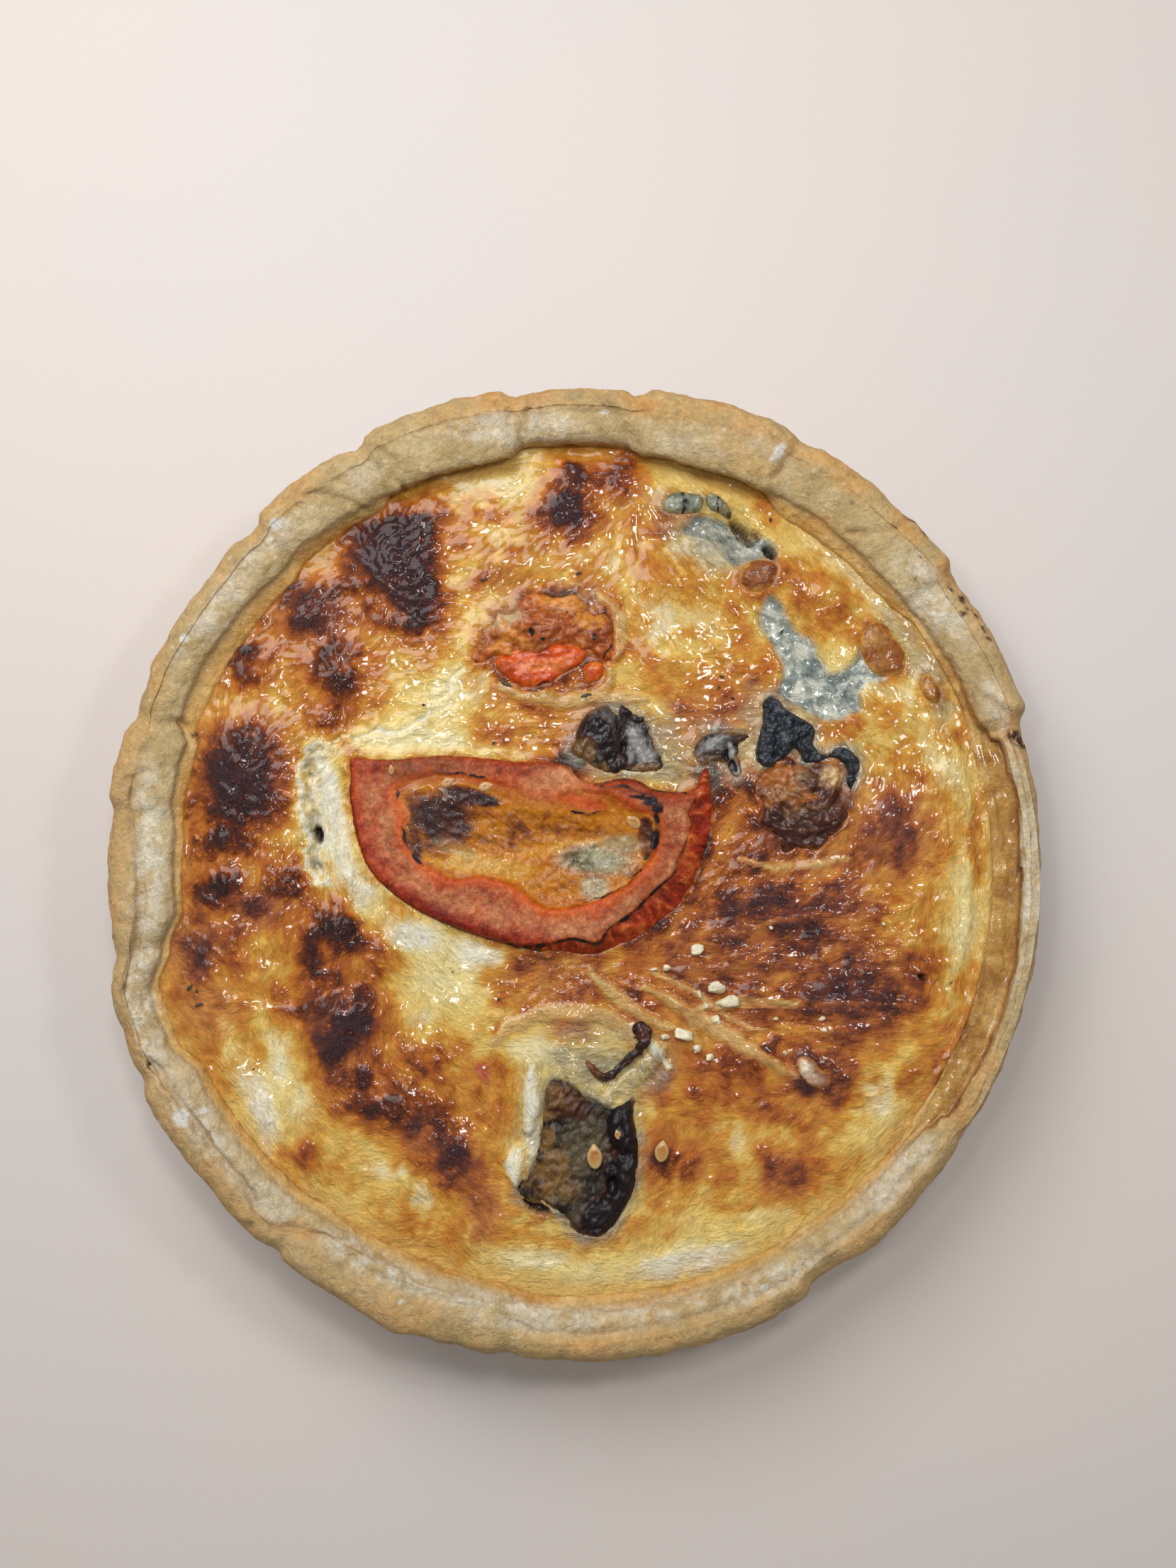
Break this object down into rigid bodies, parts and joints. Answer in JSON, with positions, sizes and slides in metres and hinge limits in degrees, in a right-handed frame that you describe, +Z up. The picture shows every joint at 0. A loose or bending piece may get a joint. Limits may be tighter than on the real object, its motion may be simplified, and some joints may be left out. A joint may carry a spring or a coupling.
{
  "type": "ratatouille quiche",
  "caption": "Round open savoury tart: a hand-folded shortcrust rim round browned egg custard, with roasted vegetables half sunk in its top.",
  "frame": {"origin": "middle of the flat base, on the surface the quiche stands on", "axes": "+Z up out of the filling, +X towards the picture's right, +Y towards the picture's top; the cut edge of the tomato slice faces +Y"},
  "size_m": [0.1727, 0.1784, 0.0297],
  "materials": {
    "pastry": "dry, floury and slightly grainy, golden on the outer edge",
    "custard": "wet sheen on a wrinkled skin, cream to dark brown",
    "tomato": "soft moist flesh with a glossy red skin",
    "roast_flesh": "moist",
    "roast_skin": "browned and slightly shiny",
    "aubergine": "soft grey flesh with a dark skin, moist",
    "aubergine_skin": "charred and crinkled, satin",
    "onion": "browned and glossy",
    "onion_pale": "glossy",
    "squash": "moist",
    "pepper": "moist",
    "courgette": "moist"
  },
  "bodies": {
    "root": {"pastry_case": "pastry", "custard": "custard", "tomato_slice": "tomato", "roast_tomato_flesh": "roast_flesh", "roast_tomato_skin": "roast_skin", "aubergine_fold": "aubergine", "aubergine_shard": "aubergine", "aubergine_skin": "aubergine_skin", "aubergine_slice": "aubergine", "aubergine_curl": "aubergine_skin", "onion_wedge": "onion", "onion_bit": "onion_pale", "squash_cube": "squash", "squash_cube_small": "squash", "pepper_bit": "pepper", "courgette_end_1": "courgette", "courgette_end_2": "courgette"}
  },
  "joints": []
}
